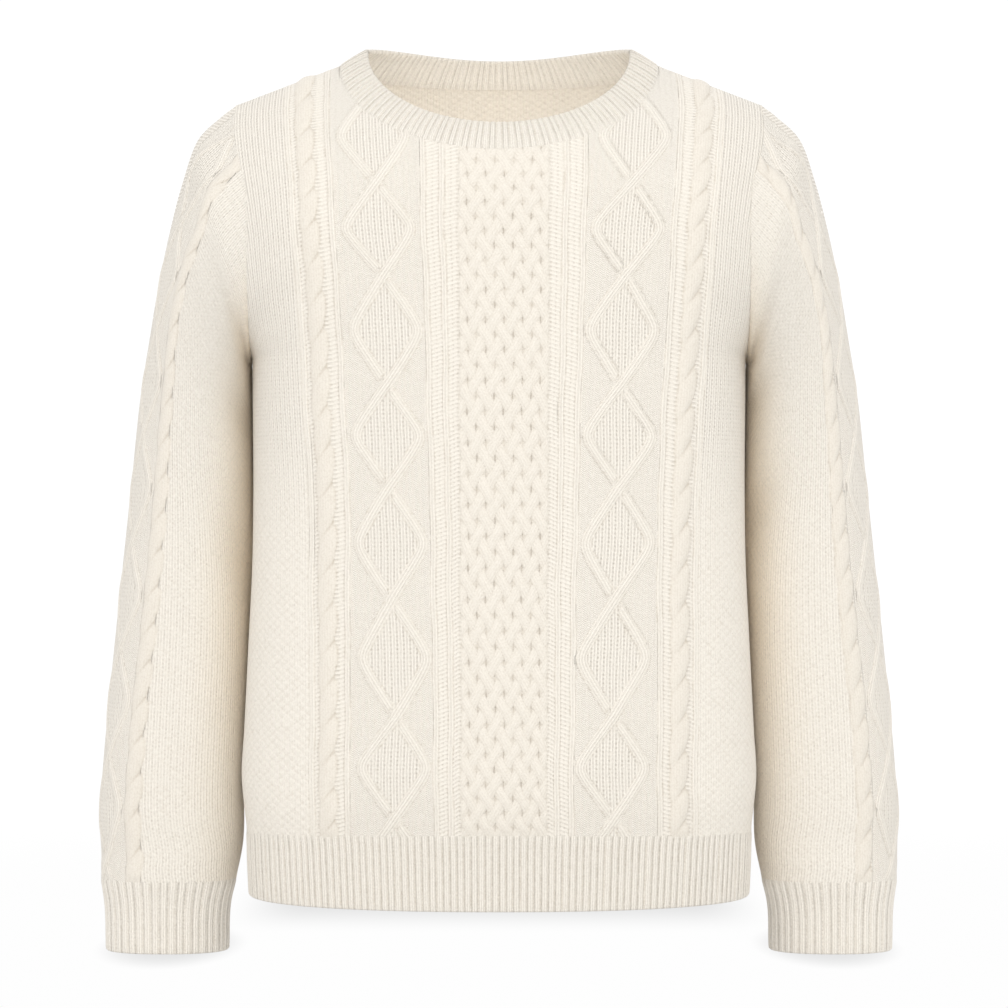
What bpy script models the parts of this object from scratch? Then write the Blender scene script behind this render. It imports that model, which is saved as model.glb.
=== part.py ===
"""A cable knit sweater, worn and hollow: nine knitted pieces, each a thin wall.

Metres, +Z up, the front towards -Y. The origin is midway between the two ends of the
neckline, level with the shoulder line there, where the wearer carries the garment.
Every piece is a flat slab of cloth that is mapped onto the form of the worn garment.
"""

import math

import bmesh
import bpy
import numpy as np

# walls
PANEL_WALL = 0.0025
RIB_WALL = 0.0030
BAND_WALL = 0.0036
SEAM_SETBACK = 0.00015  # each of two pieces stands this far back from their seam
SAME_PLACE = 0.00002  # rim points nearer than this are one point of a seam

# neckline and shoulders
NECK_HALF = 0.127
NECK_DROP = {"front": 0.0761, "back": 0.009}
BACK_NECK = {"reach": 2.5, "bend": 0.7}  # powers that flatten the back neckline and turn its ends up
SHOULDER_POINT = (0.2096, -0.0315)
SHOULDER_FALL = -SHOULDER_POINT[1] / (SHOULDER_POINT[0] - NECK_HALF)

# armhole
UNDERARM = -0.235
ARMHOLE_WIDEST = -0.150
ARMHOLE_SPAN = 0.234  # half width that the chest section would close at, if it had no armhole
ARMHOLE_STEPS = 12

# hem
RIB_TOP = -0.611
RIB_RISE = 0.005  # the cables draw the middle of the panel up
RIB_EASE = 0.08  # height over which the panel's rows straighten above the rib
HEM_END = -0.6655
HEM_RISE = 0.005  # the hem's ends at the side seams ride up

SECTION_POWER = 2.6  # of the superellipse that a level section follows
NECK_SHARE = 0.62  # share of a panel's half width that ends at the neckline
NECK_BUNCH = 0.7  # how much closer the columns stand towards the neckline's ends

# the body by height: half width, and how far it stands out to the front and the back
LEVELS = {
    "z": (-0.6655, -0.635, -0.611, -0.595, -0.567, -0.531, -0.459, -0.395, -0.331, -0.267,
          -0.235, -0.180, -0.120, -0.1016, -0.0856, -0.0624, -0.0315, 0.050),
    "half_width": (0.1990, 0.2004, 0.2012, 0.2030, 0.2055, 0.2036, 0.2000, 0.1970, 0.1962, 0.1968,
                   0.1970, 0.1966, 0.1968, 0.1980, 0.2028, 0.2084, 0.2096, 0.2096),
    "front": (0.1080, 0.1100, 0.1125, 0.1160, 0.1190, 0.1185, 0.1170, 0.1165, 0.1170, 0.1180,
              0.1185, 0.1185, 0.1180, 0.1180, 0.1180, 0.1180, 0.1180, 0.1180),
    "back": (0.1020, 0.1040, 0.1060, 0.1090, 0.1120, 0.1110, 0.1080, 0.1070, 0.1080, 0.1110,
             0.1120, 0.1130, 0.1130, 0.1130, 0.1130, 0.1125, 0.1120, 0.1120),
}

# how the body rounds over to the shoulder line: the height it takes, and how blunt it is
ROUNDING = {
    "front": {"neck_height": 0.145, "neck_blunt": 0.235},
    "back": {"neck_height": 0.103, "neck_blunt": 0.80},
}
SHOULDER_HEIGHT = 0.105
SHOULDER_BLUNT = 0.90

# rings of a sleeve, from the armhole to the cuff seam: outer and inner guide, half depth, middle
SLEEVE = {
    "outer_x": (0.2096, 0.2232, 0.2412, 0.2530, 0.2624, 0.2730, 0.2818, 0.2896, 0.2964, 0.3034,
                0.3102, 0.3162, 0.3207, 0.3226, 0.3204),
    "outer_z": (-0.0315, -0.0415, -0.0592, -0.0912, -0.1250, -0.1712, -0.2200, -0.2672, -0.3300,
                -0.3952, -0.4600, -0.5200, -0.5750, -0.6200, -0.6512),
    "inner_x": (0.1970, 0.1990, 0.1994, 0.1992, 0.1988, 0.1984, 0.1981, 0.1979, 0.1979, 0.1988,
                0.2010, 0.2036, 0.2056, 0.2062, 0.2118),
    "inner_z": (-0.2350, -0.2430, -0.2520, -0.2630, -0.2770, -0.2970, -0.3230, -0.3520, -0.3900,
                -0.4320, -0.4780, -0.5290, -0.5780, -0.6200, -0.6512),
    "half_depth": (0.0790, 0.0785, 0.0780, 0.0770, 0.0755, 0.0735, 0.0710, 0.0680, 0.0645, 0.0610,
                   0.0575, 0.0545, 0.0520, 0.0495, 0.0455),
    "middle_y": (0.0000, 0.0020, 0.0050, 0.0090, 0.0140, 0.0195, 0.0245, 0.0285, 0.0305, 0.0310,
                 0.0305, 0.0295, 0.0280, 0.0260, 0.0240),
}
SLEEVE_POWER = 2.25
ARMHOLE_FADE = 0.35  # share of the sleeve over which its section leaves the armhole's shape
FOLD_CLEAR = {"armhole": 0.06, "cuff": 0.04, "underarm": 0.10}  # shares over which the folds start

CUFF = {
    "z": (-0.6512, -0.6670, -0.7090),
    "outer_x": (0.3204, 0.3178, 0.3160),
    "inner_x": (0.2118, 0.2158, 0.2180),
    "half_depth": (0.0455, 0.0410, 0.0390),
    "middle_y": (0.0240, 0.0235, 0.0230),
}

# soft troughs: place, depth, reach each way, and how far the trough climbs per unit across
SLEEVE_FOLDS = {
    "left": (
        {"along": 0.13, "around": -0.78, "depth": 0.0060, "reach": (0.050, 0.20), "climb": 0.16},
        {"along": 0.30, "around": -0.84, "depth": 0.0045, "reach": (0.055, 0.16), "climb": 0.10},
        {"along": 0.52, "around": -0.80, "depth": 0.0035, "reach": (0.050, 0.18), "climb": -0.08},
        {"along": 0.93, "around": -0.35, "depth": 0.0025, "reach": (0.035, 0.40), "climb": 0.02},
        {"along": 0.16, "around": 0.76, "depth": 0.0065, "reach": (0.055, 0.20), "climb": -0.15},
        {"along": 0.48, "around": 0.70, "depth": 0.0040, "reach": (0.060, 0.22), "climb": 0.07},
    ),
    "right": (
        {"along": 0.12, "around": -0.76, "depth": 0.0065, "reach": (0.050, 0.22), "climb": 0.14},
        {"along": 0.34, "around": -0.82, "depth": 0.0040, "reach": (0.050, 0.16), "climb": 0.12},
        {"along": 0.58, "around": -0.78, "depth": 0.0035, "reach": (0.055, 0.20), "climb": -0.06},
        {"along": 0.94, "around": -0.25, "depth": 0.0025, "reach": (0.035, 0.35), "climb": 0.03},
        {"along": 0.15, "around": 0.78, "depth": 0.0060, "reach": (0.050, 0.20), "climb": -0.16},
        {"along": 0.44, "around": 0.72, "depth": 0.0045, "reach": (0.060, 0.22), "climb": 0.05},
    ),
}
BODY_FOLDS = (
    {"x": 0.172, "z": -0.205, "depth": 0.0050, "reach": (0.030, 0.022), "climb": -0.9},
    {"x": 0.160, "z": -0.560, "depth": 0.0025, "reach": (0.060, 0.020), "climb": 0.1},
)

# top edge of the neckband
BAND = {"half_width": 0.1048, "front": 0.090, "back": 0.068, "side_z": 0.0134, "front_drop": 0.0666,
        "back_drop": 0.0012, "back_rise": 0.0117, "bulge": 0.0012}

COLUMNS_TO_NECK = 8
COLUMNS_TO_SHOULDER = 4
SIDE_ROWS = (-0.611, -0.590, -0.567, -0.540, -0.500, -0.455, -0.405, -0.350, -0.300, -0.262)

CREAM = (0.855, 0.800, 0.690, 1.0)
KNIT_ROUGHNESS = 0.9


def through(knots, values, at):
    """A smooth curve through a table's points: cubic pieces with slopes from their neighbours."""
    knots, values = np.asarray(knots, float), np.asarray(values, float)
    slopes = np.gradient(values, knots)
    at = np.clip(np.asarray(at, float), knots[0], knots[-1])
    i = np.clip(np.searchsorted(knots, at, side="right") - 1, 0, len(knots) - 2)
    step = knots[i + 1] - knots[i]
    t = (at - knots[i]) / step
    start = (1 + 2 * t) * (1 - t) ** 2 * values[i] + t * (1 - t) ** 2 * step * slopes[i]
    end = t * t * (3 - 2 * t) * values[i + 1] + t * t * (t - 1) * step * slopes[i + 1]
    return start + end


def level(column, z):
    return through(LEVELS["z"], LEVELS[column], z)


def unit(vectors):
    return vectors / np.maximum(np.linalg.norm(vectors, axis=-1, keepdims=True), 1e-12)


def bow(share, power):
    """The height of a superellipse of unit size over the point at this share of its half width."""
    return np.clip(1 - np.abs(share) ** power, 0, 1) ** (1 / power)


def section_half(z):
    """Half width where the level section would close: the body's own below the armhole, wider beside it."""
    edge = level("half_width", z)
    below = np.clip((ARMHOLE_WIDEST - z) / (ARMHOLE_WIDEST - UNDERARM), 0, 1)
    mouth = bow(edge / ARMHOLE_SPAN, SECTION_POWER) * np.sqrt(1 - below**2)
    return edge / (1 - mouth**SECTION_POWER) ** (1 / SECTION_POWER)


def shoulder_line(x):
    """Height of the ridge of the shoulders, straight beyond the neck and arched across it."""
    x = np.abs(x)
    arched = (NECK_HALF**2 - x**2) / (2 * NECK_HALF)
    return SHOULDER_FALL * np.where(x < NECK_HALF, arched, NECK_HALF - x)


def rounding(side, x, z):
    """How much of the full depth is left at this height under the shoulder line, from 0 on it to 1."""
    across = np.clip(np.abs(x) / SHOULDER_POINT[0], 0, 1) ** 3
    height = ROUNDING[side]["neck_height"] * (1 - across) + SHOULDER_HEIGHT * across
    blunt = ROUNDING[side]["neck_blunt"] * (1 - across) + SHOULDER_BLUNT * across
    under = np.clip(shoulder_line(x) - z, 0, height)
    rise = np.sin(math.pi / 2 * under / height)
    return np.sqrt(rise * (blunt + (1 - blunt) * rise))


def body_folds(x, z):
    sunk = 0
    for fold in BODY_FOLDS:
        across = (np.abs(x) - fold["x"]) / fold["reach"][0]
        upward = (z - fold["z"] - fold["climb"] * (np.abs(x) - fold["x"])) / fold["reach"][1]
        sunk = sunk + fold["depth"] * np.exp(-(across**2) - upward**2)
    return sunk


def body_point(side, x, z):
    """The garment's surface over the point (x, z) of its front view."""
    full = bow(x / section_half(z), SECTION_POWER) * rounding(side, x, z)
    depth = (level(side, z) - body_folds(x, z)) * full
    return np.stack([x, depth if side == "back" else -depth, z], axis=-1)


def arc_tables(side):
    """Below the shoulder: where a column lies, as a share of the half width, by its share of the arc."""
    levels = np.linspace(HEM_END, ARMHOLE_WIDEST, 80)
    turn = np.sin(np.linspace(0, math.pi / 2, 400))
    shares = np.linspace(0, 1, 201)
    rows, lengths = [], []
    for z in levels:
        x = level("half_width", z) * turn
        points = body_point(side, x, np.full_like(x, z))
        arc = np.concatenate([[0], np.cumsum(np.linalg.norm(np.diff(points, axis=0), axis=1))])
        rows.append(np.interp(shares * arc[-1], arc, turn))
        lengths.append(arc[-1])
    return {"levels": levels, "shares": shares, "places": np.array(rows), "lengths": np.array(lengths)}


ARCS = {side: arc_tables(side) for side in ("front", "back")}


def column_place(side, share, z):
    """Where the column at this share of the arc lies at height z, as a share of the half width."""
    table = ARCS[side]
    row = np.clip((z - table["levels"][0]) / (table["levels"][-1] - table["levels"][0]), 0, 1)
    row = row * (len(table["levels"]) - 1)
    low = np.minimum(row.astype(int), len(table["levels"]) - 2)
    column = np.clip(np.abs(share), 0, 1) * (len(table["shares"]) - 1)
    left = np.minimum(column.astype(int), len(table["shares"]) - 2)
    f, g = row - low, column - left
    places = table["places"]
    below = places[low, left] * (1 - g) + places[low, left + 1] * g
    above = places[low + 1, left] * (1 - g) + places[low + 1, left + 1] * g
    return below * (1 - f) + above * f


def top_edge(side, share):
    """The panel's top edge in the front view: along the neckline, then out along the shoulder seam."""
    share = np.abs(share)
    in_neck = np.clip(share / NECK_SHARE, 0, 1)
    neck_x = NECK_HALF * ((1 - NECK_BUNCH) * in_neck + NECK_BUNCH * np.sin(math.pi / 2 * in_neck))
    reach = np.clip(neck_x / NECK_HALF, 0, 1)
    if side == "front":
        neck_z = -NECK_DROP[side] * np.sqrt(1 - reach**2)
    else:
        neck_z = -NECK_DROP[side] * (1 - reach ** BACK_NECK["reach"]) ** BACK_NECK["bend"]
    past = np.clip((share - NECK_SHARE) / (1 - NECK_SHARE), 0, 1)
    shoulder_x = NECK_HALF + (SHOULDER_POINT[0] - NECK_HALF) * past
    return neck_x + shoulder_x - NECK_HALF, neck_z + SHOULDER_POINT[1] * past


def rib_top(share):
    return RIB_TOP + RIB_RISE * (1 - share**2)


def hem_end(share):
    return HEM_END + HEM_RISE * share**2


def panel_surface(side, share, z, lift):
    """A panel's point: its column's share of the width, its flat height z, and its lift to the top edge."""
    top_x, top_z = top_edge(side, share)
    flat = column_place(side, share, z)
    turned = top_x / level("half_width", top_z)
    place = flat * (1 - lift) + turned * lift
    height = z + (top_z - z) * lift
    x = np.sign(share) * place * level("half_width", height)
    return body_point(side, x, height)


def armhole_heights():
    turns = np.linspace(math.pi, 0, ARMHOLE_STEPS + 1)
    middle = (SHOULDER_POINT[1] + UNDERARM) / 2
    return middle + (SHOULDER_POINT[1] - middle) * np.cos(turns)


def panel_shares():
    to_neck = np.linspace(0, NECK_SHARE, COLUMNS_TO_NECK + 1)
    to_shoulder = np.linspace(NECK_SHARE, 1, COLUMNS_TO_SHOULDER + 1)[1:]
    half = np.concatenate([to_neck, to_shoulder])
    return np.concatenate([-half[:0:-1], half])


def panel_grid(side):
    """Rows of a panel from the hem seam to the top edge, each with a point for every column."""
    shares = panel_shares()
    heights = armhole_heights()
    flat = np.concatenate([SIDE_ROWS, heights[: ARMHOLE_STEPS // 2 + 1]])
    upper = heights[ARMHOLE_STEPS // 2 + 1 :]
    start = flat[-1]
    rows = []
    for z in flat:
        ease = max(0.0, 1 - (z - RIB_TOP) / RIB_EASE)
        rows.append(panel_surface(side, shares, z + (rib_top(shares) - RIB_TOP) * ease, 0))
    for z in upper:
        lift = (z - start) / (SHOULDER_POINT[1] - start)
        rows.append(panel_surface(side, shares, np.full_like(shares, start), lift))
    return np.array(rows)


def oval(around):
    """A superellipse of unit size: out is 1 on its outer side, and across is below 0 on its front."""
    turn = math.pi * np.abs(around)
    out = np.sign(np.cos(turn)) * np.abs(np.cos(turn)) ** (2 / SLEEVE_POWER)
    across = np.sign(around) * np.abs(np.sin(turn)) ** (2 / SLEEVE_POWER)
    return out, across


def sleeve_guides(along):
    knots = np.linspace(0, 1, len(SLEEVE["outer_x"]))
    return {name: through(knots, column, along) for name, column in SLEEVE.items()}


def sleeve_oval(around, along):
    """The left sleeve's section: a superellipse between its outer and inner guides."""
    guide = sleeve_guides(along)
    out, across = oval(around)
    x = (guide["outer_x"] + guide["inner_x"]) / 2 + (guide["outer_x"] - guide["inner_x"]) / 2 * out
    z = (guide["outer_z"] + guide["inner_z"]) / 2 + (guide["outer_z"] - guide["inner_z"]) / 2 * out
    return np.stack([x, guide["middle_y"] + guide["half_depth"] * across, z], axis=-1)


def armhole_point(around):
    """The left armhole's edge: around is 0 at the shoulder point, +-1 at the underarm, below 0 in front."""
    middle = (SHOULDER_POINT[1] + UNDERARM) / 2
    z = middle + (SHOULDER_POINT[1] - middle) * np.cos(math.pi * np.abs(around))
    x = level("half_width", z)
    return np.where((around < 0)[..., None], body_point("front", x, z), body_point("back", x, z))


def sleeve_folds(side, around, along):
    """The troughs' depth, none of it at the armhole or the cuff."""
    sunk = 0
    for fold in SLEEVE_FOLDS[side]:
        across = (around - fold["around"]) / fold["reach"][1]
        down = (along - fold["along"] - fold["climb"] * (around - fold["around"])) / fold["reach"][0]
        sunk = sunk + fold["depth"] * np.exp(-(across**2) - down**2)
    for name, beyond in (("armhole", along), ("cuff", 1 - along), ("underarm", 1 - np.abs(around))):
        sunk = sunk * np.clip(beyond / FOLD_CLEAR[name], 0, 1)
    return sunk


def sleeve_surface(side, around, along):
    """A sleeve's point, on the left whichever side its folds are of."""
    fade = np.clip(1 - along / ARMHOLE_FADE, 0, 1)
    fade = (fade * fade * (3 - 2 * fade))[..., None]
    at_armhole = armhole_point(around) - sleeve_oval(around, np.zeros_like(along))
    points = sleeve_oval(around, along) + at_armhole * fade
    middle = (sleeve_oval(np.zeros_like(along), along) + sleeve_oval(np.ones_like(along), along)) / 2
    return points - unit(points - middle) * sleeve_folds(side, around, along)[..., None]


def around_shares():
    return np.linspace(-1, 1, 2 * ARMHOLE_STEPS + 1)


def sleeve_grid(side):
    around, along = np.meshgrid(around_shares(), np.linspace(0, 1, len(SLEEVE["outer_x"])))
    return sleeve_surface(side, around, along)


def cuff_surface(around, z):
    columns = ("outer_x", "inner_x", "half_depth", "middle_y")
    outer, inner, depth, middle = (through(CUFF["z"][::-1], CUFF[name][::-1], z) for name in columns)
    out, across = oval(around)
    return np.stack([(outer + inner) / 2 + (outer - inner) / 2 * out, middle + depth * across, z], axis=-1)


def cuff_grid():
    around, z = np.meshgrid(around_shares(), CUFF["z"])
    return cuff_surface(around, z)


def hem_grid(side):
    shares = panel_shares()
    rows = []
    for down in (0, 0.5, 1):
        z = rib_top(shares) * (1 - down) + hem_end(shares) * down
        rows.append(panel_surface(side, shares, z, 0))
    return np.array(rows)


def band_top(side, reach):
    """The neckband's top edge over the point of the neckline at this share of the neck's half width."""
    turn = np.arcsin(np.clip(reach, -1, 1))
    x = BAND["half_width"] * np.sin(turn)
    if side == "front":
        z = BAND["side_z"] - BAND["front_drop"] * np.cos(turn)
        return np.stack([x, -BAND["front"] * np.cos(turn), z], axis=-1)
    z = BAND["side_z"] + (BAND["back_rise"] * np.sin(turn) ** 2 - BAND["back_drop"]) * np.cos(turn)
    return np.stack([x, BAND["back"] * np.cos(turn), z], axis=-1)


def band_grid():
    """Rows from the neckline to the top edge; the columns run from the back's middle round the front."""
    half = np.linspace(0, NECK_SHARE, COLUMNS_TO_NECK + 1)
    columns = [("back", s) for s in -half] + [("front", s) for s in -half[-2::-1]]
    columns += [("front", s) for s in half[1:]] + [("back", s) for s in half[-2::-1]]
    seam = np.array([panel_surface(side, np.array([s]), np.array([0.0]), 1)[0] for side, s in columns])
    top = np.array([band_top(side, point[0] / NECK_HALF) for (side, s), point in zip(columns, seam)])
    outward = unit(seam * (1, 1, 0))
    bulge = 4 * BAND["bulge"]
    return np.array([seam * (1 - up) + top * up + outward * bulge * up * (1 - up) for up in (0, 0.5, 1)])


def grid_normals(grid):
    across = np.gradient(grid, axis=1)
    upward = np.gradient(grid, axis=0)
    return unit(np.cross(across, upward))


def rim(shape):
    rows, columns = shape
    for i in range(rows):
        for j in range(columns):
            if i in (0, rows - 1) or j in (0, columns - 1):
                yield i, j


def join_seams(pieces):
    """Gives each point of a rim the mean direction of the cloth that meets there and the thinnest of its walls.

    Body, neckband and sleeve count alike in that mean, however many pieces of each meet."""
    found = [(piece, i, j) for piece in pieces.values() for i, j in rim(piece["grid"].shape[:2])]
    places = np.array([piece["grid"][i, j] for piece, i, j in found])
    own = np.array([piece["normals"][i, j] for piece, i, j in found])
    groups = np.array([piece["group"] for piece, i, j in found])
    walls = np.array([piece["wall"][i, j] for piece, i, j in found])
    for (piece, i, j), place in zip(found, places):
        here = np.linalg.norm(places - place, axis=1) < SAME_PLACE
        means = [unit(own[here & (groups == group)].sum(axis=0)) for group in set(groups[here])]
        piece["normals"][i, j] = unit(sum(means))
        piece["wall"][i, j] = walls[here].min()
        piece["sewn"][i, j] = here.sum() > 1


def set_back(piece):
    """Moves each sewn edge back into its own piece, square to the seam and to the cloth's mean direction."""
    grid, normals, sewn = piece["grid"], piece["normals"], piece["sewn"]
    moved = grid.copy()
    edges = ((np.s_[0, :], 1), (np.s_[-1, :], -1), (np.s_[:, 0], -1), (np.s_[:, -1], 1))
    for edge, turn in edges:
        if sewn[edge].mean() < 0.5:
            continue
        inward = unit(np.cross(normals[edge], np.gradient(grid[edge], axis=0))) * turn
        moved[edge] += inward * SEAM_SETBACK * sewn[edge][:, None]
    return moved


def slab(name, outer, inner):
    """A flat grid, thickened, whose two faces are laid on the cloth's outer and inner surfaces."""
    rows, columns = outer.shape[0] - 1, outer.shape[1] - 1
    work = bmesh.new()
    bmesh.ops.create_grid(work, x_segments=columns, y_segments=rows, size=1)
    bmesh.ops.solidify(work, geom=work.faces[:], thickness=1)
    middle = sum(vertex.co.z for vertex in work.verts) / len(work.verts)
    for vertex in work.verts:
        i = round((vertex.co.y + 1) / 2 * rows)
        j = round((vertex.co.x + 1) / 2 * columns)
        vertex.co = (outer if vertex.co.z > middle else inner)[i, j]
    bmesh.ops.triangulate(work, faces=work.faces[:], quad_method="SHORT_EDGE")
    bmesh.ops.recalc_face_normals(work, faces=work.faces[:])
    mesh = bpy.data.meshes.new(name)
    work.to_mesh(mesh)
    work.free()
    mesh.shade_smooth()
    mesh.set_sharp_from_angle(angle=math.radians(50))
    return bpy.data.objects.new(name, mesh)


def knit_material(name):
    material = bpy.data.materials.new(name)
    material.use_nodes = True
    shader = material.node_tree.nodes["Principled BSDF"]
    shader.inputs["Base Color"].default_value = CREAM
    shader.inputs["Roughness"].default_value = KNIT_ROUGHNESS
    shader.inputs["Metallic"].default_value = 0
    return material


def mirrored(grid):
    return grid[:, ::-1] * (-1, 1, 1)


def cloth(grid, wall, group):
    shape = grid.shape[:2]
    return {"grid": grid, "normals": grid_normals(grid), "wall": np.full(shape, wall), "group": group,
            "sewn": np.zeros(shape)}


def make_pieces():
    """Each piece of cloth. A grid's columns run to the right as seen from outside, and its rows upward."""
    left, right = sleeve_grid("left")[::-1], sleeve_grid("right")[::-1]
    cuff = cuff_grid()[::-1]
    return {
        "front": cloth(panel_grid("front"), PANEL_WALL, "body"),
        "back": cloth(panel_grid("back")[:, ::-1], PANEL_WALL, "body"),
        "hem_front": cloth(hem_grid("front")[::-1], RIB_WALL, "body"),
        "hem_back": cloth(hem_grid("back")[::-1, ::-1], RIB_WALL, "body"),
        "neckband": cloth(band_grid(), BAND_WALL, "neckband"),
        "sleeve_left": cloth(left, PANEL_WALL, "sleeve"),
        "sleeve_right": cloth(mirrored(right), PANEL_WALL, "sleeve"),
        "cuff_left": cloth(cuff, RIB_WALL, "sleeve"),
        "cuff_right": cloth(mirrored(cuff), RIB_WALL, "sleeve"),
    }


def main():
    for thing in list(bpy.data.objects):
        bpy.data.objects.remove(thing)
    collection = bpy.data.collections.new("cable_knit_sweater")
    bpy.context.scene.collection.children.link(collection)
    pieces = make_pieces()
    join_seams(pieces)
    for name, piece in pieces.items():
        outer = set_back(piece)
        made = slab(name, outer, outer - piece["normals"] * piece["wall"][..., None])
        made.data.materials.append(knit_material(name))
        collection.objects.link(made)


main()
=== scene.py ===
import math

import bmesh
import bpy
import numpy as np
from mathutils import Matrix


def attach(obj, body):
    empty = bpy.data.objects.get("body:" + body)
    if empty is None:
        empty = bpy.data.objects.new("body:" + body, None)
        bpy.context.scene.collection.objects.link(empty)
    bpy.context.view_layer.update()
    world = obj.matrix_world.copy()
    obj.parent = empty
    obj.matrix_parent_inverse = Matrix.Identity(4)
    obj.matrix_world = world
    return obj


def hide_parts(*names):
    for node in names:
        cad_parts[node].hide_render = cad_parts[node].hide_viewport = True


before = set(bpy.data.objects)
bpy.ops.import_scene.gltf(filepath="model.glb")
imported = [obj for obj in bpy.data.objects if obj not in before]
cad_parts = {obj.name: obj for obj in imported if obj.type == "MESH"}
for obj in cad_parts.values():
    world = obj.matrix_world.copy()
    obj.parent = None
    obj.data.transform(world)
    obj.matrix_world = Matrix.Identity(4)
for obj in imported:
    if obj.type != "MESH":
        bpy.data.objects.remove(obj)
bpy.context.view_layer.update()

print("frame loaded:", len(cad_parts), "nodes")

# the worn form, from the same tables as the frame's cut pieces
form = {
    "neckHalf": 0.127, "frontDrop": 0.0761, "backDrop": 0.009, "backReach": 2.5, "backBend": 0.7,
    "shoulderX": 0.2096, "shoulderZ": -0.0315, "underarm": -0.235,
    "armholeWidest": -0.150, "armholeSpan": 0.234,
    "ribTop": -0.611, "ribRise": 0.005, "hemEnd": -0.6655, "hemRise": 0.005,
    "power": 2.6, "sleevePower": 2.25, "armholeFade": 0.35,
    "shoulderHeight": 0.105, "shoulderBlunt": 0.90,
    "foldEnds": {"armhole": 0.06, "wrist": 0.04, "seam": 0.10},  # no fold reaches these edges of a sleeve
}
shoulderFall = -form["shoulderZ"] / (form["shoulderX"] - form["neckHalf"])
rounding = {"front": (0.145, 0.235), "back": (0.103, 0.80)}  # height and bluntness at the neck

levels = {
    "z": (-0.6655, -0.635, -0.611, -0.595, -0.567, -0.531, -0.459, -0.395, -0.331, -0.267,
          -0.235, -0.180, -0.120, -0.1016, -0.0856, -0.0624, -0.0315, 0.050),
    "half": (0.1990, 0.2004, 0.2012, 0.2030, 0.2055, 0.2036, 0.2000, 0.1970, 0.1962, 0.1968,
             0.1970, 0.1966, 0.1968, 0.1980, 0.2028, 0.2084, 0.2096, 0.2096),
    "front": (0.1080, 0.1100, 0.1125, 0.1160, 0.1190, 0.1185, 0.1170, 0.1165, 0.1170, 0.1180,
              0.1185, 0.1185, 0.1180, 0.1180, 0.1180, 0.1180, 0.1180, 0.1180),
    "back": (0.1020, 0.1040, 0.1060, 0.1090, 0.1120, 0.1110, 0.1080, 0.1070, 0.1080, 0.1110,
             0.1120, 0.1130, 0.1130, 0.1130, 0.1130, 0.1125, 0.1120, 0.1120),
}

sleeveRings = {
    "outerX": (0.2096, 0.2232, 0.2412, 0.2530, 0.2624, 0.2730, 0.2818, 0.2896, 0.2964, 0.3034,
               0.3102, 0.3162, 0.3207, 0.3226, 0.3204),
    "outerZ": (-0.0315, -0.0415, -0.0592, -0.0912, -0.1250, -0.1712, -0.2200, -0.2672, -0.3300,
               -0.3952, -0.4600, -0.5200, -0.5750, -0.6200, -0.6512),
    "innerX": (0.1970, 0.1990, 0.1994, 0.1992, 0.1988, 0.1984, 0.1981, 0.1979, 0.1979, 0.1988,
               0.2010, 0.2036, 0.2056, 0.2062, 0.2118),
    "innerZ": (-0.2350, -0.2430, -0.2520, -0.2630, -0.2770, -0.2970, -0.3230, -0.3520, -0.3900,
               -0.4320, -0.4780, -0.5290, -0.5780, -0.6200, -0.6512),
    "depth": (0.0790, 0.0785, 0.0780, 0.0770, 0.0755, 0.0735, 0.0710, 0.0680, 0.0645, 0.0610,
              0.0575, 0.0545, 0.0520, 0.0495, 0.0455),
    "middle": (0.0000, 0.0020, 0.0050, 0.0090, 0.0140, 0.0195, 0.0245, 0.0285, 0.0305, 0.0310,
               0.0305, 0.0295, 0.0280, 0.0260, 0.0240),
}

cuffRings = {
    "z": (-0.7090, -0.6670, -0.6512),
    "outerX": (0.3160, 0.3178, 0.3204),
    "innerX": (0.2180, 0.2158, 0.2118),
    "depth": (0.0390, 0.0410, 0.0455),
    "middle": (0.0230, 0.0235, 0.0240),
}

# soft troughs: along, around, depth, reach along, reach around, climb
sleeveFolds = {
    "left": ((0.13, -0.78, 0.0060, 0.050, 0.20, 0.16), (0.30, -0.84, 0.0045, 0.055, 0.16, 0.10),
             (0.52, -0.80, 0.0035, 0.050, 0.18, -0.08), (0.93, -0.35, 0.0025, 0.035, 0.40, 0.02),
             (0.16, 0.76, 0.0065, 0.055, 0.20, -0.15), (0.48, 0.70, 0.0040, 0.060, 0.22, 0.07)),
    "right": ((0.12, -0.76, 0.0065, 0.050, 0.22, 0.14), (0.34, -0.82, 0.0040, 0.050, 0.16, 0.12),
              (0.58, -0.78, 0.0035, 0.055, 0.20, -0.06), (0.94, -0.25, 0.0025, 0.035, 0.35, 0.03),
              (0.15, 0.78, 0.0060, 0.050, 0.20, -0.16), (0.44, 0.72, 0.0045, 0.060, 0.22, 0.05)),
}
bodyFolds = ((0.172, -0.205, 0.0050, 0.030, 0.022, -0.9), (0.160, -0.560, 0.0025, 0.060, 0.020, 0.1))


def through(knots, values, at):  # a smooth curve through a table's points
    knots, values = np.asarray(knots, float), np.asarray(values, float)
    slopes = np.gradient(values, knots)
    at = np.clip(np.asarray(at, float), knots[0], knots[-1])
    i = np.clip(np.searchsorted(knots, at, side="right") - 1, 0, len(knots) - 2)
    step = knots[i + 1] - knots[i]
    t = (at - knots[i]) / step
    start = (1 + 2 * t) * (1 - t) ** 2 * values[i] + t * (1 - t) ** 2 * step * slopes[i]
    end = t * t * (3 - 2 * t) * values[i + 1] + t * t * (t - 1) * step * slopes[i + 1]
    return start + end


def level(name, z):
    return through(levels["z"], levels[name], z)


def unit(vectors):
    return vectors / np.maximum(np.linalg.norm(vectors, axis=-1, keepdims=True), 1e-12)


def smooth(low, high, at):
    t = np.clip((at - low) / (high - low), 0, 1)
    return t * t * (3 - 2 * t)


def bow(share, power):
    return np.clip(1 - np.abs(share) ** power, 0, 1) ** (1 / power)


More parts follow.
